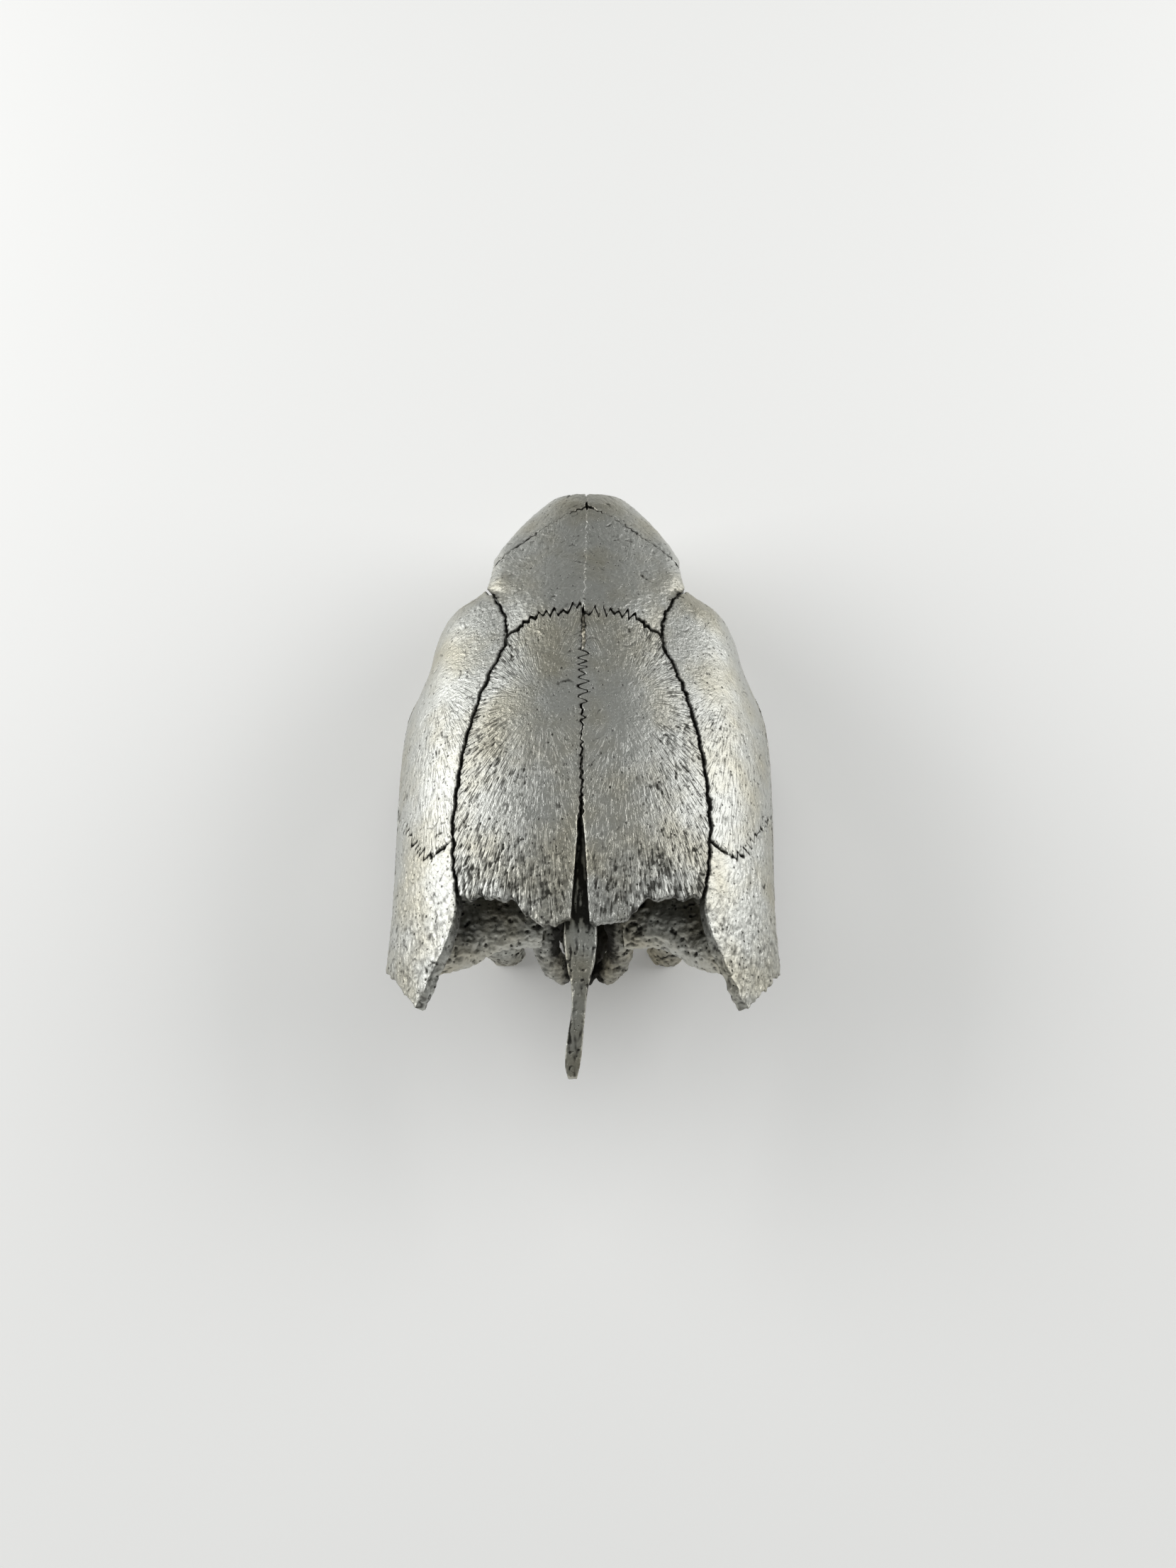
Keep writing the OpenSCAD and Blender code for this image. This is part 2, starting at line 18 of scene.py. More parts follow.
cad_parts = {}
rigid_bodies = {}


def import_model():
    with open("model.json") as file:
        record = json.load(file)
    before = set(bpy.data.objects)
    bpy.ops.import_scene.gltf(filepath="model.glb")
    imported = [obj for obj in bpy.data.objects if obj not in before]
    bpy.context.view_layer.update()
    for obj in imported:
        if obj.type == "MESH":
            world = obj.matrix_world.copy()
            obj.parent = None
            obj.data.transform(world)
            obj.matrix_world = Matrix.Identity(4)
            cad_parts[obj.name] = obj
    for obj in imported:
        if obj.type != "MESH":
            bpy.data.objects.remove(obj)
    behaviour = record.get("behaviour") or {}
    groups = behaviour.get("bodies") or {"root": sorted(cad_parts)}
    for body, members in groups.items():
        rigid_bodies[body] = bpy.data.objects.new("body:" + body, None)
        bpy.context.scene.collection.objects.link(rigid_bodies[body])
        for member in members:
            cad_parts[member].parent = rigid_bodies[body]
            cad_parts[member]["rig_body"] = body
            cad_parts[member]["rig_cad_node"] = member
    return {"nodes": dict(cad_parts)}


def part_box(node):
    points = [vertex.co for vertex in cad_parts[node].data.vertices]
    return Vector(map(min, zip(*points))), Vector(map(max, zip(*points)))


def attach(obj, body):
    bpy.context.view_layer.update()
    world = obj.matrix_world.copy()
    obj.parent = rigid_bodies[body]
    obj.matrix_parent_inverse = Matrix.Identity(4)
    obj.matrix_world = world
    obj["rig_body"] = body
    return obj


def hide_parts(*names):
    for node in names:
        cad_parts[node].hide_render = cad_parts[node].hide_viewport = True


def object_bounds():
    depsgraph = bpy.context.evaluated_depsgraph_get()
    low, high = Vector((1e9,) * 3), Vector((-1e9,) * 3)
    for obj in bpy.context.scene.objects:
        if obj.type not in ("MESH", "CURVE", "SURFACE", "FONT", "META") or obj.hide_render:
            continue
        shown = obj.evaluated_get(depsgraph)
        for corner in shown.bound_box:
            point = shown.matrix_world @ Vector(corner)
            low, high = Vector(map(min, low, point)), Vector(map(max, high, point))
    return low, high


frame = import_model()
cad_low, cad_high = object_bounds()

MM = 0.001
bones = frame["nodes"]
print(len(bones), "bones, frame box in mm:", [round(x / MM, 1) for x in (*cad_low, *cad_high)])

# %% [markdown]
# ## Which bones are which
#
# The outer shell is polished plate that has seen daylight. The bones behind and
# under it kept their dark tarnish, because nobody's thumb ever reached them.
# The names end in _right or _left, so a short list of family names is enough.

# %% Families of bones
SHELL = ["parietal", "frontal", "prefrontal", "postorbital", "squamosal", "jugal",
         "quadratojugal", "maxilla", "premaxilla"]


def family(name):
    """The bone's name without its side."""
    return name.removesuffix("_right").removesuffix("_left")


def side_of(name):
    """1 for a right bone, -1 for a left one, 0 on the middle line."""
    return name.endswith("_right") - name.endswith("_left")


shell_names = [n for n in sorted(bones) if family(n) in SHELL]
inner_names = [n for n in sorted(bones) if family(n) not in SHELL]
print(len(shell_names), "shell bones,", len(inner_names), "inner bones")

# %% [markdown]
# ## From a faceted bone to an even skin
#
# A bone from the frame is made of loose flat triangles. Hand-sculpting would
# start by joining them, pairing them into quads, and smoothing the plate with
# Subdivision Surface while its rims stay creased. A voxel remesh then lays an
# even net of small squares over it, which every later step needs: a net with
# long thin triangles can't hold a pit. A few rounds of smoothing wear the rims.

# %% Copy and remesh every bone
FINE_VOXEL = 0.385 * MM
COARSE_VOXEL = 0.5 * MM
RIM_ANGLE = math.radians(38)
FINE_FAMILIES = {"parietal", "frontal", "prefrontal", "postorbital", "squamosal",
                 "jugal", "quadratojugal", "supraoccipital"}


def select_only(obj):
    """Makes one object the only selected and active one."""
    bpy.ops.object.select_all(action="DESELECT")
    obj.select_set(True)
    bpy.context.view_layer.objects.active = obj


def apply_modifier(obj, kind, **settings):
    """Adds a modifier, sets it up, and applies it."""
    modifier = obj.modifiers.new(kind.lower(), kind)
    for key, value in settings.items():
        setattr(modifier, key, value)
    select_only(obj)
    bpy.ops.object.modifier_apply(modifier=modifier.name)


def skinned_copy(name):
    """A copy of a frame bone with an even net of small quads."""
    select_only(bones[name])
    bpy.ops.object.duplicate()
    bone = bpy.context.active_object
    bone.name = f"plated_{name}"
    bone.parent = None
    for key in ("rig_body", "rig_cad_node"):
        del bone[key]
    bpy.ops.object.mode_set(mode="EDIT")
    bpy.ops.mesh.select_mode(type="EDGE")
    bpy.ops.mesh.select_all(action="SELECT")
    bpy.ops.mesh.remove_doubles(threshold=0.01 * MM)
    bpy.ops.mesh.tris_convert_to_quads(face_threshold=RIM_ANGLE, shape_threshold=math.pi / 3)
    bpy.ops.mesh.select_all(action="DESELECT")
    bpy.ops.mesh.edges_select_sharp(sharpness=RIM_ANGLE)
    bpy.ops.transform.edge_crease(value=1.0)
    bpy.ops.object.mode_set(mode="OBJECT")
    voxel = FINE_VOXEL if family(name) in FINE_FAMILIES else COARSE_VOXEL
    apply_modifier(bone, "SUBSURF", levels=2, render_levels=2)
    apply_modifier(bone, "REMESH", mode="VOXEL", voxel_size=voxel, use_smooth_shade=True)
    apply_modifier(bone, "SMOOTH", factor=0.5, iterations=3)
    return bone


pieces = {name: skinned_copy(name) for name in sorted(bones)}
print(sum(len(p.data.vertices) for p in pieces.values()), "points in the skins")

# %% [markdown]
# ## Reading and writing all points at once
#
# A million points are too many for a Python loop. Blender hands them over as
# one long array, and numpy works on all of them together.

# %% Arrays of points


def read_points(obj):
    """The places of a mesh's points, in mm."""
    flat = np.empty(len(obj.data.vertices) * 3, np.float32)
    obj.data.vertices.foreach_get("co", flat)
    return flat.reshape(-1, 3).astype(float) / MM


def write_points(obj, points):
    """Moves a mesh's points to these places, in mm."""
    obj.data.vertices.foreach_set("co", (points * MM).astype(np.float32).ravel())
    obj.data.update()


def read_normals(obj):
    """Which way the surface faces at each point."""
    flat = np.empty(len(obj.data.vertices) * 3, np.float32)
    obj.data.vertex_normals.foreach_get("vector", flat)
    return flat.reshape(-1, 3).astype(float)


def write_attribute(obj, name, values):
    """Stores one number for each point, which a material can read."""
    layer = obj.data.attributes.new(name, "FLOAT", "POINT")
    layer.data.foreach_set("value", values.astype(np.float32))


def write_places(obj, name, places):
    """Stores a place for each point, on which a material can lay a pattern."""
    layer = obj.data.attributes.new(name, "FLOAT_VECTOR", "POINT")
    layer.data.foreach_set("vector", places.astype(np.float32).ravel())


def ramp(values, start, end):
    """0 before start, 1 after end, and a soft step between them."""
    t = np.clip((values - start) / (end - start), 0, 1)
    return t * t * (3 - 2 * t)


# %% [markdown]
# ## Random, but smooth
#
# Bone is random in a tidy way: bumps have a typical size, and neighbours are
# alike. Gradient noise gives that. Each corner of a grid holds a random
# direction, and the eight corners round a point are blended. Stretching the
# points before they go in stretches the bumps, which makes streaks.

# %% Gradient noise
RANDOM = np.random.default_rng(11)
DIRECTIONS = RANDOM.normal(size=(256, 3))
DIRECTIONS /= np.linalg.norm(DIRECTIONS, axis=1)[:, None]
SHUFFLE = RANDOM.permutation(256)


def noise(x, y, z):
    """Smooth random values, about -1 to 1, whose bumps are about one unit across."""
    point = np.stack(np.broadcast_arrays(x, y, z), axis=-1).astype(float)
    cell = np.floor(point).astype(np.int64)
    part = point - cell
    ease = part * part * part * (part * (part * 6 - 15) + 10)
    total = np.zeros(point.shape[:-1])
    for corner in np.ndindex(2, 2, 2):
        spot = (cell + corner) & 255
        pick = SHUFFLE[(SHUFFLE[(SHUFFLE[spot[..., 0]] + spot[..., 1]) & 255] + spot[..., 2]) & 255]
        slope = ((part - corner) * DIRECTIONS[pick]).sum(-1)
        weight = np.where(corner, ease, 1 - ease).prod(-1)
        total += slope * weight
    return total * 1.6


def lumps(points, size, seed):
    """Noise with bumps of one size in mm, the same in every direction."""
    x, y, z = points.T / size
    return noise(x + seed * 7.7, y, z)


# %% [markdown]
# ## Finding the sutures
#
# A suture is the seam between two skull bones. It is traced from the bones
# themselves: for each point near the neighbour, the nearest spot on the
# neighbour gives a point in the middle of the gap and the direction across it.
# Averaged in short steps, these make a centre line that can be measured along.

# %% Trace a centre line for each pair of neighbours
SEAM_REACH = 1.4
SEAM_STEP = 1.5
LEAST_SEAM_POINTS = 60
LEAST_STEP_POINTS = 4
LEAST_STEPS = 4
trees = {n: BVHTree.FromPolygons([v.co for v in bones[n].data.vertices],
                                 [p.vertices for p in bones[n].data.polygons]) for n in shell_names}
rest_points = {n: read_points(pieces[n]) for n in shell_names}


def trace_seam(first, second):
    """The middle of the gap between two bones: distance along, centre and direction across."""
    low, high = (np.array(corner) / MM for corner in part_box(second))
    points = rest_points[first]
    near = ((points > low - SEAM_REACH) & (points < high + SEAM_REACH)).all(axis=1)
    middles, across = [], []
    for point in points[near]:
        spot, _, _, gap = trees[second].find_nearest(Vector(point * MM), SEAM_REACH * MM)
        if spot is not None and gap > 0:
            there = np.array(spot) / MM
            middles.append((point + there) / 2)
            across.append((there - point) / np.linalg.norm(there - point))
    if len(middles) < LEAST_SEAM_POINTS:
        return None
    middles, across = np.array(middles), np.array(across)
    origin = middles.mean(axis=0)
    axis = np.linalg.svd(middles - origin, full_matrices=False)[2][0]
    along = (middles - origin) @ axis
    marks, centres, directions = [], [], []
    for start in np.arange(along.min(), along.max(), SEAM_STEP):
        chosen = (along >= start - SEAM_STEP / 2) & (along < start + SEAM_STEP * 1.5)
        if chosen.sum() >= LEAST_STEP_POINTS:
            marks.append(start + SEAM_STEP / 2)
            centres.append(middles[chosen].mean(axis=0))
            directions.append(across[chosen].mean(axis=0))
    if len(marks) < LEAST_STEPS:
        return None
    centres, directions = np.array(centres), np.array(directions)
    directions /= np.linalg.norm(directions, axis=1)[:, None]
    lengths = np.r_[0, np.cumsum(np.linalg.norm(np.diff(centres, axis=0), axis=1))]
    return {"pair": (first, second), "origin": origin, "axis": axis, "marks": np.array(marks),
            "centres": centres, "across": directions, "lengths": lengths}


seams = []
for i, first in enumerate(shell_names):
    for second in shell_names[i + 1:]:
        low_a, high_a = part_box(first)
        low_b, high_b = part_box(second)
        if all(low_a[k] < high_b[k] + MM and low_b[k] < high_a[k] + MM for k in range(3)):
            seam = trace_seam(first, second)
            if seam:
                seams.append(seam)
print(len(seams), "sutures, from", round(min(s["lengths"][-1] for s in seams)),
      "to", round(max(s["lengths"][-1] for s in seams)), "mm long")

# %% [markdown]
# ## How each suture looks
#
# The swing is how far the line wanders to each side, and the pitch is the
# distance from one tooth to the next. Opening widens the gap of the frame, or
# closes it when it is negative. The seam between frontals and parietals is
# toothed, the middle of the skull meanders, and the long side seams are cracks.

# %% Styles of suture
STYLE_KEYS = ("swing", "pitch", "ragged", "opening", "patchy")
PLAIN = (0.35, 4.0, 0.15, -0.15, 0.2)
STYLES = {
    frozenset({"frontal", "parietal"}): (2.6, 2.8, 0.9, 0.5, 0.55),
    frozenset({"parietal"}): (1.45, 3.1, 0.6, -0.15, 0.15),
    frozenset({"parietal", "postorbital"}): (0.35, 8.0, 0.4, 0.4, 0.45),
    frozenset({"frontal", "postorbital"}): (0.35, 6.0, 0.4, 0.25, 0.35),
    frozenset({"prefrontal", "frontal"}): (0.5, 2.4, 0.4, -0.35, 0.6),
    frozenset({"frontal"}): (0.3, 6.0, 0.1, -0.85, 0.1),
    frozenset({"prefrontal"}): (0.3, 6.0, 0.15, -0.75, 0.3),
    frozenset({"postorbital", "squamosal"}): (1.5, 3.2, 0.9, -0.2, 0.8),
    frozenset({"parietal", "squamosal"}): (0.3, 6.0, 0.4, 0.25, 0.3),
}
# where along the skull the middle line meanders
MEANDER_Y = (-5.0, 23.0)
# the left parietal ends in a small spike beside the middle line: how far forward it reaches at each x
SPIKE_X = (-5.2, -1.2, -0.35)
SPIKE_REACH = (0.0, 5.6, 0.8)
SPIKE_FADE = 7.0


def style_of(seam):
    """The look of the suture between these two families of bone."""
    row = STYLES.get(frozenset(family(name) for name in seam["pair"]), PLAIN)
    return dict(zip(STYLE_KEYS, row))


def measure_from(seam, points):
    """For each point: length along the suture, distance across it, direction, nearness, and 0 at the ends."""
    mark = (points - seam["origin"]) @ seam["axis"]
    held = np.clip(mark, seam["marks"][0], seam["marks"][-1])
    centre = np.stack([np.interp(held, seam["marks"], c) for c in seam["centres"].T], axis=1)
    direction = np.stack([np.interp(held, seam["marks"], c) for c in seam["across"].T], axis=1)
    direction /= np.linalg.norm(direction, axis=1)[:, None]
    offset = points - centre
    across = (offset * direction).sum(axis=1)
    aside = np.linalg.norm(offset - across[:, None] * direction, axis=1)
    along = np.interp(held, seam["marks"], seam["lengths"])
    end = np.minimum(along, seam["lengths"][-1] - along)
    near = np.exp(-(aside / 6) ** 2)
    return along, across, direction, near, ramp(end, 0.0, 2.0)


def swing_of(seam, along, points):
    """How far the suture wanders sideways at each length along it."""
    style = style_of(seam)
    number = seams.index(seam) * 3.7
    phase = along / style["pitch"] + 0.8 * noise(along / style["pitch"] / 2.6, number, 0.5)
    size = style["swing"] * np.maximum(0.72 + 0.85 * noise(along / style["pitch"] / 1.5, number, 5.5), 0.2)
    pair = {family(name) for name in seam["pair"]}
    if pair == {"frontal", "parietal"}:
        size = size * (1 - 0.75 * ramp(np.abs(points[:, 0]), 15, 19))
    if pair == {"parietal"}:
        y = points[:, 1]
        meander = ramp(y, MEANDER_Y[0], MEANDER_Y[0] + 3) * (1 - ramp(y, MEANDER_Y[1], MEANDER_Y[1] + 3))
        size = size * (0.12 + meander)
    wave = np.sin(2 * np.pi * phase)
    if style["pitch"] < 3:
        wave = np.arcsin(wave * 0.95) * 0.8
    ragged = style["ragged"] * noise(along / 0.9, number, 9.5)
    if pair == {"parietal"}:
        ragged = ragged * (1 - 0.6 * ramp(points[:, 1], 22, 25))
    return size * wave + ragged


def opening_of(seam, along, points):
    """How much wider than the frame's gap the suture is at each length along it."""
    style = style_of(seam)
    number = seams.index(seam) * 2.3
    opening = style["opening"] + style["patchy"] * noise(along / 3.2, number, 3.5)
    opening = opening + 0.15 * noise(along / 1.5, number, 7.5)
    if {family(name) for name in seam["pair"]} == {"parietal"}:
        y = points[:, 1]
        opening = opening + 0.85 * ramp(y, 22, 26) - 0.1 * ramp(-y, 0, 6) + 0.4 * ramp(-y, 8, 20)
    return np.maximum(opening, -1.0)


# %% [markdown]
# ## Moving both sides of a suture together
#
# Where a tooth pushes into a bone, the neighbour has to give way, so both
# bones are bent by the same wave and the gap stays even. The wave dies out a
# few millimetres from the line. Opening moves the two rims apart, each its own way.

# %% Bend the rims
SWING_FADE = 3.6
OPENING_FADE = 2.0
DIRT_WIDTH = 0.85
SEAM_MARGIN = 9


def bend_rims(name, points):
    """The bone's points moved by every suture near it, and how close each is to a suture."""
    moved = np.zeros_like(points)
    seam_dirt = np.zeros(len(points))
    for seam in seams:
        low = seam["centres"].min(axis=0) - SEAM_MARGIN
        high = seam["centres"].max(axis=0) + SEAM_MARGIN
        near = ((points > low) & (points < high)).all(axis=1)
        if not near.any():
            continue
        along, across, direction, weight, inside = measure_from(seam, points[near])
        swing = swing_of(seam, along, points[near]) * weight * np.exp(-(across / SWING_FADE) ** 2)
        moved[near] += direction * swing[:, None]
        if seam["pair"] == ("frontal_left", "parietal_left") and side_of(name) < 0:
            reach = np.interp(points[near][:, 0], SPIKE_X, SPIKE_REACH) * np.exp(-(across / SPIKE_FADE) ** 2)
            moved[near] -= direction * (reach * weight)[:, None]
        if name in seam["pair"]:
            sign = -1 if name == seam["pair"][0] else 1
            opening = opening_of(seam, along, points[near])
            apart = sign * opening / 2 * weight * inside * np.exp(-(across / OPENING_FADE) ** 2)
            moved[near] += direction * apart[:, None]
            dirt = weight * np.exp(-(across / DIRT_WIDTH) ** 2) * ramp(opening, -0.8, 0.0)
            seam_dirt[near] = np.maximum(seam_dirt[near], dirt)
    return points + moved, seam_dirt


# %% [markdown]
# ## Streaks that fan from a growth centre
#
# A skull plate grows outwards from one spot, and its fibres point away from
# it. The streaks keep their width as they spread, because a new one starts
# wherever two old ones drift apart: two rings of noise, one with twice as many
# streaks as the other, take turns as the distance grows.

# %% Growth of the plates
# the right bone's growth centre in mm, and how far its plate tilts to the side in degrees;
# heights of its marks in mm, and how much of its fine fibres shows
PLATE_KEYS = ("centre", "height", "tilt", "streak", "pit", "wrinkle", "fibres")
PLATE_ROWS = {
    "parietal": ((12, 5), 86, 18, 0.055, 0.22, 0.04, 1.0),
    "frontal": ((13, 52), 77, 10, 0.03, 0.07, 0.085, 0.2),
    "prefrontal": ((16, 80), 66, 30, 0.03, 0.07, 0.08, 0.25),
    "postorbital": ((42, 22), 62, 45, 0.04, 0.12, 0.035, 0.6),
    "squamosal": ((50, -40), 66, 50, 0.02, 0.05, 0.13, 0.2),
    "jugal": ((58, 22), 34, 85, 0.06, 0.12, 0.05, 0.5),
    "quadratojugal": ((60, -14), 30, 88, 0.06, 0.12, 0.06, 0.5),
    "maxilla": ((44, 70), 25, 85, 0.05, 0.12, 0.05, 0.4),
    "premaxilla": ((6, 104), 20, 60, 0.03, 0.1, 0.05, 0.3),
}
PLATES = {bone: dict(zip(PLATE_KEYS, row)) for bone, row in PLATE_ROWS.items()}


def fan(points, name):
    """Angle round a plate's growth centre, and the distance from it in mm."""
    plate = PLATES[family(name)]
    tilt = math.radians(plate["tilt"])
    side = side_of(name)
    sideways = ((points[:, 0] * side - plate["centre"][0]) * math.cos(tilt)
                - (points[:, 2] - plate["height"]) * math.sin(tilt))
    forward = points[:, 1] - plate["centre"][1]
    return np.arctan2(forward, sideways), np.hypot(forward, sideways) + 3


def fibre_places(points, name, width, length):
    """Two rings of places to lay streaks of this size on, and how much the first ring counts."""
    angle, distance = fan(points, name)
    level = np.log2(distance / width)
    even = 2 * np.round(level / 2)
    odd = 2 * np.floor(level / 2) + 1
    rings = [np.stack([angle * 2.0**step, distance / length, step * 5.3 + side_of(name) * 31], axis=1)
             for step in (even, odd)]
    return rings, 1 - ramp(np.abs(level - even), 0.2, 0.8)


def fibre_strength(points, name):
    """0 where the fan starts and where its two ends meet, 1 elsewhere."""
    angle, distance = fan(points, name)
    return ramp(np.pi - np.abs(angle), 0.0, 0.3) * ramp(distance, 9.0, 22.0)


def streaks(points, name, width, length, seed):
    """Noise drawn out along the fibres: each streak about width by length mm."""
    rings, share = fibre_places(points, name, width, length)
    first, second = (noise(ring[:, 0], ring[:, 1], ring[:, 2] + seed) for ring in rings)
    return (share * first + (1 - share) * second) * fibre_strength(points, name)


# %% [markdown]
# ## The relief of the outer plates
#
# One function gives the depth of every mark on the outer side of a plate, and
# how much tarnish sits in it. Streaks and long pits follow the fibres. The rear
# ends of the parietals are furrowed, as if chewed, and worm-like lines cross the
# smoother plates. Marks finer than the net, such as pores, are left to the metal.
# Heights stay low: a streak 1.3 mm wide and 0.1 mm high already tilts the metal
# by ten degrees, and much more than that would look like crumpled foil.

# %% Relief
SKULL_MIDDLE = np.array([0.0, -4.0, 34.0])


def outward(points, normals):
    """1 on the outer side of the shell, 0 on its inner side and on the rims."""
    away = points - SKULL_MIDDLE
    away /= np.linalg.norm(away, axis=1)[:, None]
    return ramp((away * normals).sum(axis=1), 0.05, 0.4)


def strength(points, name):
    """How strongly a plate is marked in each place: the middle of the roof is the smoothest."""
    x, y = np.abs(points[:, 0]), points[:, 1]
    kind = family(name)
    if kind == "parietal":
        return 0.3 + 0.7 * ramp(x, 11, 25) + 0.5 * ramp(-y, 40, 56) * (1 - ramp(x, 11, 25))
    if kind == "postorbital":
        return 0.45 + 0.55 * ramp(-y, -24, -6)
    return np.ones(len(points))


def plate_relief(points, name):
    """Height of the marks on a plate in mm, and how deep each place lies from 0 to 1."""
    plate = PLATES[family(name)]
    strong = strength(points, name)
    fibre = streaks(points, name, 1.3, 14.0, 1)
    fine = streaks(points, name, 0.9, 5.0, 2)
    long_pits = ramp(streaks(points, name, 0.9, 2.8, 3), 0.36, 0.56)
    wrinkles = lumps(points, 2.4, 6) + lumps(points, 1.15, 10)
    worms = 1 - ramp(np.abs(lumps(points, 6.5, 7)), 0.0, 0.11)
    worms *= ramp(lumps(points, 4.5, 8), 0.18, 0.32)
    raised = np.sign(lumps(points, 10, 9))
    specks = lumps(points, 0.95, 12)
    height = 0.05 * lumps(points, 14, 5)
    height += plate["streak"] * strong * (fibre + 0.5 * fine)
    height -= plate["pit"] * strong * long_pits
    height += plate["wrinkle"] * wrinkles
    height += 0.14 * worms * raised + 0.04 * specks
    depth = plate["pit"] * 2.6 * strong * long_pits - 0.12 * fibre * strong
    depth -= 2.0 * plate["wrinkle"] * wrinkles
    depth = depth + 0.5 * worms * (raised < 0) - 0.12 * specks
    if family(name) == "parietal":
        rear = ramp(-points[:, 1], 30, 58)
        furrow = noise(points[:, 0] / 0.95, points[:, 1] / 3.4, side_of(name) * 3 + 0.5)
        chewed = lumps(points, 1.2, 11)
        height += rear * (0.2 * furrow + 0.08 * chewed)
        hollows = 0.2 + 0.4 * ramp(-furrow, 0.2, 0.55) + 0.2 * ramp(-chewed, 0.2, 0.5)
        depth = depth + rear * (hollows - 0.3 * ramp(furrow, 0.2, 0.6))
        # the lips of the cleft are rubbed bright
        lip = ramp(-points[:, 1], 18, 30) * (1 - ramp(np.abs(points[:, 0]), 3.2, 4.4))
        depth = depth - 0.5 * lip
    if family(name) == "squamosal":
        # the rear tips were rubbed less
        depth = depth + 0.2 * ramp(-points[:, 1], 46, 68)
    depth = np.clip(depth, 0, 1)
    return height, depth


# %% [markdown]
# ## The rough bones
#
# The bones of the braincase, the insides of the plates and the crest are not
# polished. They get plain lumps in three sizes, pores, and on the crest long
# furrows that run with it from the roof to its tip.

# %% Rough relief


def rough_relief(points, amount):
    """Height in mm and depth from 0 to 1 of unpolished bone."""
    lump = lumps(points, 5, 21)
    knots = np.abs(lumps(points, 2.6, 24)) - 0.25
    grain = lumps(points, 1.3, 22)
    holes = ramp(lumps(points, 2.2, 23), 0.34, 0.5)
    height = amount * (0.5 * lump + 0.6 * knots + 0.24 * grain - 0.6 * holes)
    return height, np.clip(0.02 + 0.6 * holes - 0.5 * knots - 0.4 * grain - 0.2 * lump, 0, 0.8)


def crest_relief(points):
    """Furrows along the crest, with painted shade where it runs in the cleft and on its lower part."""
    x, y, z = points.T
    furrow = noise(x / 1.3, y / 9, z / 3.5)
    fine = noise(x / 0.8, y / 3.5, z / 1.4 + 40)
    pores = ramp(lumps(points, 1.4, 31), 0.35, 0.55)
    height = 0.14 * furrow + 0.1 * fine - 0.22 * pores
    # painted shade on the crest where it runs in the cleft and on its lower part
    painted_cleft_shade = np.maximum(ramp(y, -70, -65), ramp(-z, -74, -68) * ramp(y, -84, -76))
    return height, np.clip(0.8 * pores - 1.3 * furrow - 0.7 * fine + painted_cleft_shade - 0.1, 0, 1)


# %% [markdown]
# ## Ragged free edges
#
# Where a plate ends in the open, as behind the parietals and at the tips of
# the squamosals, the bone is frayed. Notches are cut by pushing the rim back
# and forth along the skull, by an amount that changes only across it, so they
# go straight through the plate.

# %% Fray the free edges
# the brow pulls in behind the eye, so that the corner of the cheekbone stands out
BROW_DENT = (56.5, 31.0, 50.0)
BROW_DENT_DEPTH = 1.8
BROW_DENT_REACH = 9
# which way the rear of the right squamosal faces
SQUAMOSAL_FACING = (0.78, 0.0, 0.62)


def fray(points, name):
    """The points with ragged rear margins."""
    kind = family(name)
    x, y, z = points.T
    moved = np.stack([lumps(points, 5.0, s) for s in (41, 42, 43)], axis=1) * 0.1
    if kind == "parietal":
        rear = ramp(-y, 50, 60)
        notch = noise(x / 3.4, 3.3, 0.5) * 1.5 + noise(x / 1.2, 8.3, 0.5) * 0.5
        moved[:, 1] += rear * notch
    if kind == "postorbital":
        near = np.exp(-((np.abs(x) - BROW_DENT[0]) ** 2 + (y - BROW_DENT[1]) ** 2 + (z - BROW_DENT[2]) ** 2)
                      / BROW_DENT_REACH ** 2)
        moved[:, 0] -= side_of(name) * BROW_DENT_DEPTH * near
    if kind == "squamosal":
        rear = ramp(-y, 66, 78)
        ragged = np.stack([lumps(points, 3.6, s) for s in (44, 45, 46)], axis=1) * 1.5
        # only along the plate, so that its face stays even
        square = np.array([SQUAMOSAL_FACING[0] * side_of(name), *SQUAMOSAL_FACING[1:]])
        moved += rear[:, None] * (ragged - (ragged @ square)[:, None] * square)
    return points + moved


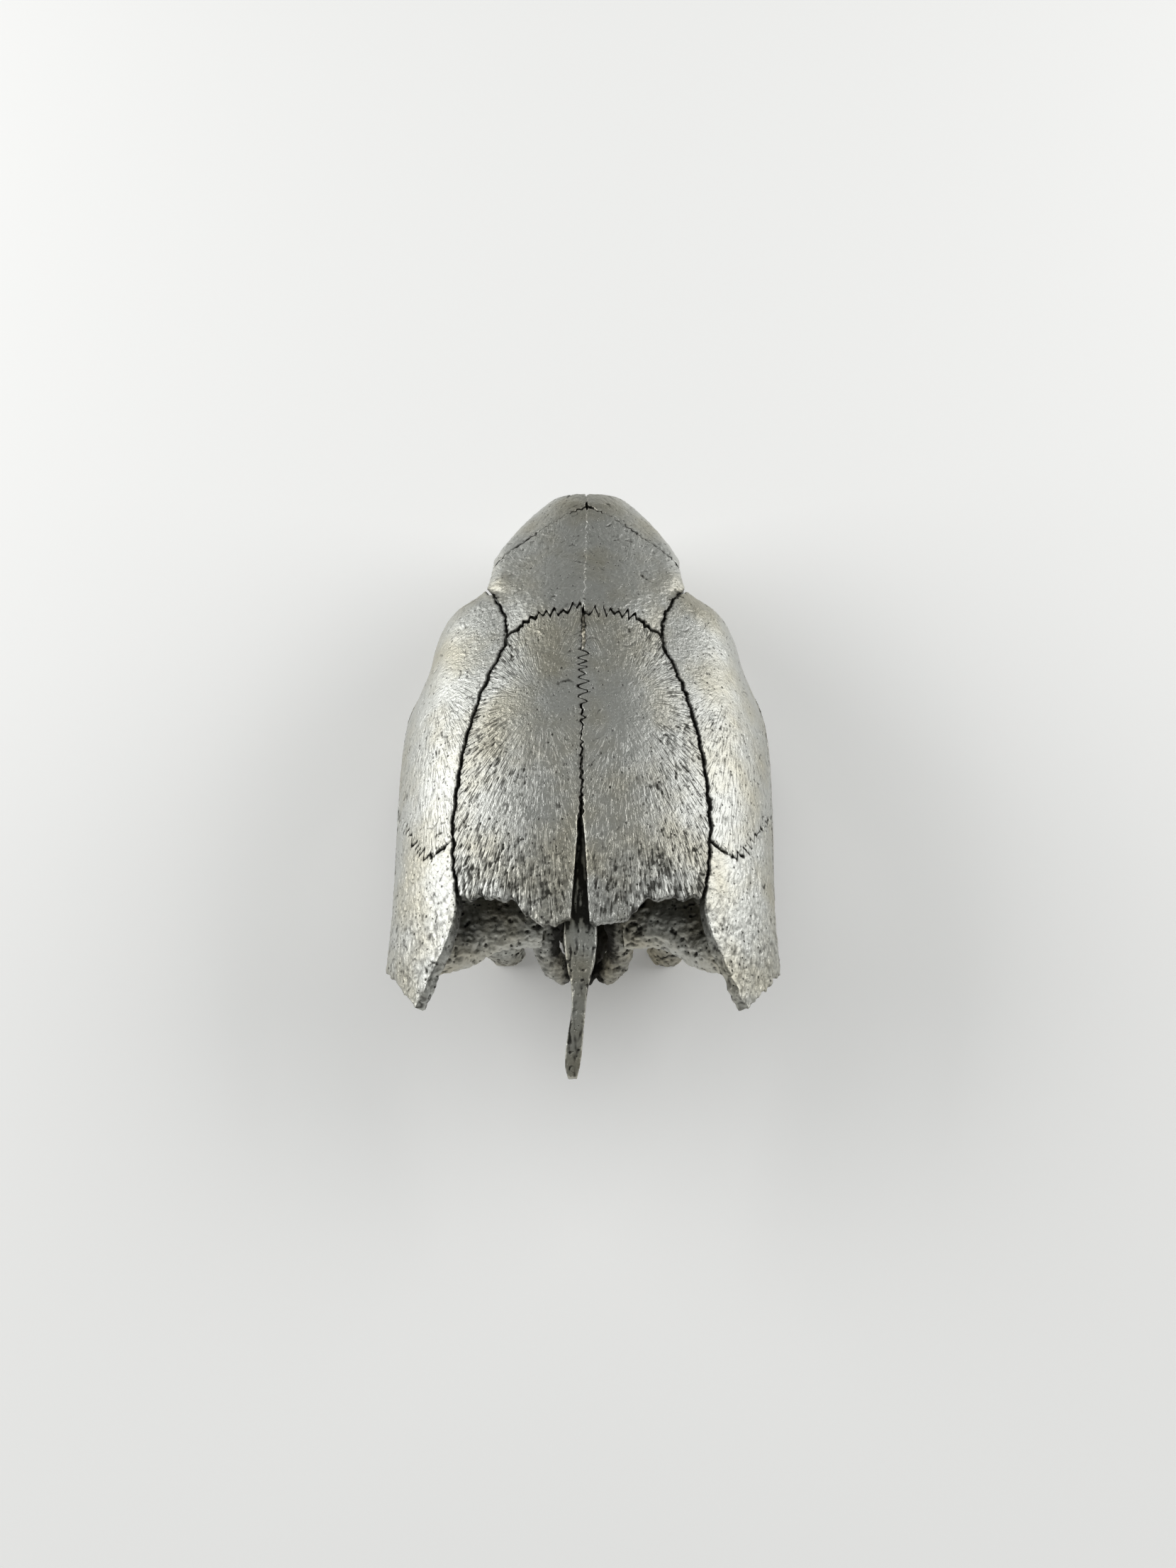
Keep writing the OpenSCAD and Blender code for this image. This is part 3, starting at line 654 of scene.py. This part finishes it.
# %% Shape every bone
FIBRE_WIDTH = 0.5
FIBRE_LENGTH = 4.0
INNER_ROUGHNESS = 0.35
for name, piece in pieces.items():
    points = read_points(piece)
    if name in shell_names:
        rings, share = fibre_places(points, name, FIBRE_WIDTH, FIBRE_LENGTH)
        marked = fibre_strength(points, name) * strength(points, name) * PLATES[family(name)]["fibres"]
        points, seam_dirt = bend_rims(name, points)
        points = fray(points, name)
        write_points(piece, points)
        normals = read_normals(piece)
        facing = outward(points, normals)
        height, depth = plate_relief(points, name)
        inner_height, inner_depth = rough_relief(points, INNER_ROUGHNESS)
        height = facing * height + (1 - facing) * inner_height
        depth = facing * depth + (1 - facing) * (0.45 + 0.5 * inner_depth)
        depth = np.maximum(depth, seam_dirt * 0.8)
        write_places(piece, "fibre_even", rings[0])
        write_places(piece, "fibre_odd", rings[1])
        write_attribute(piece, "fibre_share", share)
        write_attribute(piece, "fibre_strength", marked * facing)
    elif name == "supraoccipital":
        normals = read_normals(piece)
        height, depth = crest_relief(points)
    else:
        normals = read_normals(piece)
        height, depth = rough_relief(points, 1.0)
        # the bones round the spinal canal are darkened with painted shade on top of their own film
        x, z = np.abs(points[:, 0]), points[:, 2]
        if family(name) == "exoccipital":
            # painted shade on the exoccipitals, darkest beside the canal and high up near the middle line
            canal_top_shade = (1 - ramp(x, 7.5, 14.5)) * ramp(z, 29, 40)
            painted_canal_shade = np.maximum(canal_top_shade, 0.35 + 0.6 * (1 - ramp(x, 4, 8)))
            depth = np.maximum(depth, painted_canal_shade)
        if family(name) == "quadrate":
            depth = depth + 0.2
        # painted shade on the upward faces of the basioccipital, inside the canal
        if name == "basioccipital":
            depth = np.maximum(depth, ramp(normals[:, 2], -0.3, 0.2))
    write_points(piece, points + normals * height[:, None])
    write_attribute(piece, "depth", np.clip(depth, 0, 1))
print("relief done")

# %% [markdown]
# ## Keeping inside the frame
#
# Every piece is clipped to the box of the frame, so that the looks don't make
# the skull bigger than its frame: only a few high spots touch it.

# %% Clip to the box
box_low = np.array(cad_low) / MM
box_high = np.array(cad_high) / MM
for piece in pieces.values():
    write_points(piece, np.clip(read_points(piece), box_low, box_high))

# %% [markdown]
# ## Silver plate
#
# Silver plate is a bright, slightly warm metal. It was blackened all over and
# then rubbed, so the proud parts shine and the hollows keep a brown-black film.
# Bare metal has no base reflection of another colour, so it is metallic 1 and
# keeps the default IOR. Rubbing leaves it satin: roughness near 0.3. In the
# hollows the film is dull.
#
# Marks finer than the net are made here: fibres half a millimetre wide, which
# read the two rings of places stored on each plate, slits between the fibres,
# round pores, and the grain of the casting.

# %% Colours and a node helper


def linear(hex_colour):
    """An sRGB hex colour as linear RGBA."""
    parts = [int(hex_colour[i:i + 2], 16) / 255 for i in (1, 3, 5)]
    return (*[c / 12.92 if c <= 0.04045 else ((c + 0.055) / 1.055) ** 2.4 for c in parts], 1.0)


def add_node(tree, kind, inputs, **settings):
    """Adds a node; an input that is another node's output becomes a link."""
    node = tree.nodes.new(kind)
    for key, value in settings.items():
        setattr(node, key, value)
    for key, value in inputs.items():
        if isinstance(value, bpy.types.NodeSocket):
            tree.links.new(value, node.inputs[key])
        else:
            node.inputs[key].default_value = value
    return node


# %% Plated metal


def ringed_noise(tree, rings, share, detail, shift):
    """One noise laid on both rings of fibre places, so that streaks stay even as they fan out."""
    turns = []
    for ring in rings:
        moved = add_node(tree, "ShaderNodeVectorMath", {0: ring, 1: shift}, operation="ADD")
        turns.append(add_node(tree, "ShaderNodeTexNoise",
                              {"Vector": moved.outputs[0], "Scale": 1.0, "Detail": detail}))
    return add_node(tree, "ShaderNodeMix",
                    {"Factor": share, 2: turns[1].outputs["Fac"], 3: turns[0].outputs["Fac"]},
                    data_type="FLOAT").outputs[0]


def plated_metal(name, bright, warm, film, film_share, polish, fibres):
    """Rubbed plate with a dark film in its hollows; polish is its roughness where it is rubbed.

    The film covers at most film_share of the metal, and fibres adds the fine fibres of a plate.
    """
    material = bpy.data.materials.new(name)
    material.use_nodes = True
    tree = material.node_tree
    tree.nodes.clear()
    place = add_node(tree, "ShaderNodeTexCoord", {}).outputs["Object"]
    depth = add_node(tree, "ShaderNodeAttribute", {}, attribute_name="depth").outputs["Fac"]
    # cloudy warm patches about 20 mm across, a little lacquer or old polish
    cloud = add_node(tree, "ShaderNodeTexNoise", {"Vector": place, "Scale": 50.0, "Detail": 3.0})
    # grime about 2 mm across that breaks up the film in the hollows
    grime = add_node(tree, "ShaderNodeTexNoise", {"Vector": place, "Scale": 500.0, "Detail": 4.0})
    # the grain under the plate, 1 mm across and finer; drawn about twice as coarse as real, to show
    grain = add_node(tree, "ShaderNodeTexNoise",
                     {"Vector": place, "Scale": 1000.0, "Detail": 4.0, "Roughness": 0.65})
    # pores about 0.5 mm across, one in a cell of 1.3 mm, and only in some of the cells
    cells = add_node(tree, "ShaderNodeTexVoronoi", {"Vector": place, "Scale": 770.0})
    pore_size = add_node(tree, "ShaderNodeMath", {0: cells.outputs["Color"], 1: 0.75, 2: -0.3},
                         operation="MULTIPLY_ADD")
    in_pore = add_node(tree, "ShaderNodeMath", {0: pore_size.outputs[0], 1: cells.outputs["Distance"]},
                       operation="SUBTRACT")
    pores = add_node(tree, "ShaderNodeMapRange",
                     {"Value": in_pore.outputs[0], "From Min": 0.0, "From Max": 0.07})
    height = add_node(tree, "ShaderNodeMath", {0: pores.outputs["Result"], 1: -0.5, 2: 0.5},
                      operation="MULTIPLY_ADD")
    marks = pores.outputs["Result"]
    relief = height.outputs[0]
    if fibres:
        strong = add_node(tree, "ShaderNodeAttribute", {}, attribute_name="fibre_strength").outputs["Fac"]
        share = add_node(tree, "ShaderNodeAttribute", {}, attribute_name="fibre_share").outputs["Fac"]
        rings = [add_node(tree, "ShaderNodeAttribute", {}, attribute_name=ring).outputs["Vector"]
                 for ring in ("fibre_even", "fibre_odd")]
        fibre = ringed_noise(tree, rings, share, 2.0, (0.0, 0.0, 0.0))
        gaps = ringed_noise(tree, rings, share, 0.0, (70.0, 30.0, 9.0))
        slits = add_node(tree, "ShaderNodeMapRange", {"Value": gaps, "From Min": 0.58, "From Max": 0.65})
        slits = add_node(tree, "ShaderNodeMath", {0: slits.outputs["Result"], 1: strong},
                         operation="MULTIPLY")
        marks = add_node(tree, "ShaderNodeMath", {0: marks, 1: slits.outputs[0]},
                         operation="MAXIMUM").outputs[0]
        ridges = add_node(tree, "ShaderNodeMath", {0: fibre, 1: strong}, operation="MULTIPLY")
        sunk = add_node(tree, "ShaderNodeMath", {0: slits.outputs[0], 1: -0.6, 2: relief},
                        operation="MULTIPLY_ADD")
        relief = add_node(tree, "ShaderNodeMath", {0: ridges.outputs[0], 1: 0.7, 2: sunk.outputs[0]},
                          operation="MULTIPLY_ADD").outputs[0]
    patch = add_node(tree, "ShaderNodeMapRange",
                     {"Value": cloud.outputs["Fac"], "From Min": 0.42, "From Max": 0.68})
    metal = add_node(tree, "ShaderNodeMix",
                     {"Factor": patch.outputs["Result"], 6: linear(bright), 7: linear(warm)},
                     data_type="RGBA")
    dirty = add_node(tree, "ShaderNodeMath", {0: grime.outputs["Fac"], 1: 0.9, 2: -0.45},
                     operation="MULTIPLY_ADD")
    amount = add_node(tree, "ShaderNodeMath", {0: depth, 1: dirty.outputs[0]}, operation="ADD")
    marked = add_node(tree, "ShaderNodeMath", {0: marks, 1: 0.5, 2: amount.outputs[0]},
                      operation="MULTIPLY_ADD")
    film_on = add_node(tree, "ShaderNodeMapRange",
                       {"Value": marked.outputs[0], "From Min": 0.12, "From Max": 0.75, "To Max": film_share})
    colour = add_node(tree, "ShaderNodeMix",
                      {"Factor": film_on.outputs["Result"], 6: metal.outputs[2], 7: linear(film)},
                      data_type="RGBA")
    gloss = add_node(tree, "ShaderNodeMapRange",
                     {"Value": film_on.outputs["Result"], "To Min": polish, "To Max": polish + 0.22})
    uneven = add_node(tree, "ShaderNodeMath", {0: grime.outputs["Fac"], 1: 0.16, 2: gloss.outputs["Result"]},
                      operation="MULTIPLY_ADD")
    fine_bump = add_node(tree, "ShaderNodeBump", {"Height": relief, "Strength": 0.9, "Distance": 0.32 * MM})
    bump = add_node(tree, "ShaderNodeBump", {"Height": grain.outputs["Fac"], "Strength": 0.9,
                                             "Distance": 0.3 * MM, "Normal": fine_bump.outputs["Normal"]})
    shader = add_node(tree, "ShaderNodeBsdfPrincipled",
                      {"Base Color": colour.outputs[2], "Roughness": uneven.outputs[0], "Metallic": 1.0,
                       "Normal": bump.outputs["Normal"]})
    add_node(tree, "ShaderNodeOutputMaterial", {"Surface": shader.outputs["BSDF"]})
    return material


silver_plate = plated_metal("antiqued_silver_plate", "#bcbdb8", "#b3b0a2", "#2b2a25",
                            film_share=0.9, polish=0.30, fibres=True)
crest_plate = plated_metal("half_rubbed_silver_plate", "#b4b5af", "#a5a191", "#1e1d1a",
                           film_share=0.9, polish=0.32, fibres=False)
# the inner bones' silver is lighter than the shell's, a painted lift against the shade they lie in under the
# plates; the dark film is their own tarnish
tarnished_plate = plated_metal("tarnished_silver_plate", "#cbcbc4", "#bdb6a2", "#181612",
                               film_share=0.93, polish=0.34, fibres=False)

# %% Hand every piece over
for name, piece in pieces.items():
    if name in shell_names:
        finish, slot = silver_plate, "silver_plate"
    elif name == "supraoccipital":
        finish, slot = crest_plate, "silver_plate"
    else:
        finish, slot = tarnished_plate, "tarnished_plate"
    piece.data.materials.clear()
    piece.data.materials.append(finish)
    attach(piece, "root")
    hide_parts(name)
print(len(pieces), "pieces stand for their bones")

# %% [markdown]
# ## The studio
#
# The skull lies on a plain white sheet that is far wider than the view. The sheet
# is lit a little from below, as on a light table, which keeps the shadow weak.

# %% Sheet
SHEET_RADIUS = 3.0
GLOW = 0.1
bpy.ops.object.select_all(action="DESELECT")
bpy.ops.mesh.primitive_circle_add(vertices=128, radius=SHEET_RADIUS, fill_type="NGON")
sheet = bpy.context.active_object
sheet.name = "sheet"
matt_white = bpy.data.materials.new("matt_white_board")
matt_white.use_nodes = True
board = matt_white.node_tree.nodes["Principled BSDF"]
board.inputs["Base Color"].default_value = linear("#f8f8f7")
board.inputs["Roughness"].default_value = 0.8
board.inputs["Emission Color"].default_value = linear("#ffffff")
board.inputs["Emission Strength"].default_value = GLOW
sheet.data.materials.append(matt_white)

# %% [markdown]
# ## Light
#
# Metal shows its surroundings. Two wide soft boxes stand left and right and
# give the flanks their broad highlights, and a dim grey ceiling keeps the
# middle of the roof darker, so that its relief reads.

# %% Soft boxes and ceiling


def soft_box(name, place, aim, width, height, power):
    """A rectangular area light at a place, turned to an aim point."""
    data = bpy.data.lights.new(name, "AREA")
    data.shape = "RECTANGLE"
    data.size = width
    data.size_y = height
    data.energy = power
    light = bpy.data.objects.new(name, data)
    bpy.context.scene.collection.objects.link(light)
    light.location = place
    light.rotation_euler = (Vector(aim) - Vector(place)).to_track_quat("-Z", "Y").to_euler()
    print(name, "stands", round((Vector(aim) - Vector(place)).length, 2), "m from the skull")


SKULL_TOP = (0.0, 0.0, 0.06)
soft_box("soft_box_right", (1.05, 0.33, 0.53), SKULL_TOP, 1.05, 1.05, 10.2)
soft_box("soft_box_left", (-1.05, 0.28, 0.48), SKULL_TOP, 1.1, 0.95, 11.6)

world = bpy.data.worlds.new("ceiling")
world.use_nodes = True
world.node_tree.nodes["Background"].inputs["Color"].default_value = linear("#8b8c8a")
world.node_tree.nodes["Background"].inputs["Strength"].default_value = 1.0
bpy.context.scene.world = world
bpy.context.scene.view_settings.view_transform = "Standard"

# %% [markdown]
# ## Camera
#
# The camera stands behind and above the skull, almost on its middle line, and
# leans a little. It is near enough for some perspective: the raised crest
# looks larger than the beak.

# %% Camera
CAMERA_TURN = math.radians(3.16)
CAMERA_LIFT = math.radians(65.39)
CAMERA_LEAN = math.radians(-2.83)
CAMERA_DISTANCE = 0.65
CAMERA_AIM = Vector((0.00112, -0.00757, 0.05))
back = Vector((math.sin(CAMERA_TURN) * math.cos(CAMERA_LIFT),
               -math.cos(CAMERA_TURN) * math.cos(CAMERA_LIFT), math.sin(CAMERA_LIFT)))
camera_data = bpy.data.cameras.new("camera")
camera_data.sensor_fit = "VERTICAL"
camera_data.sensor_height = 36.0
camera_data.lens = 44.8
camera = bpy.data.objects.new("camera", camera_data)
bpy.context.scene.collection.objects.link(camera)
camera.location = CAMERA_AIM + back * CAMERA_DISTANCE
level = back.to_track_quat("Z", "Y")
camera.rotation_euler = (level.to_matrix() @ Matrix.Rotation(CAMERA_LEAN, 3, "Z")).to_euler()
bpy.context.scene.camera = camera
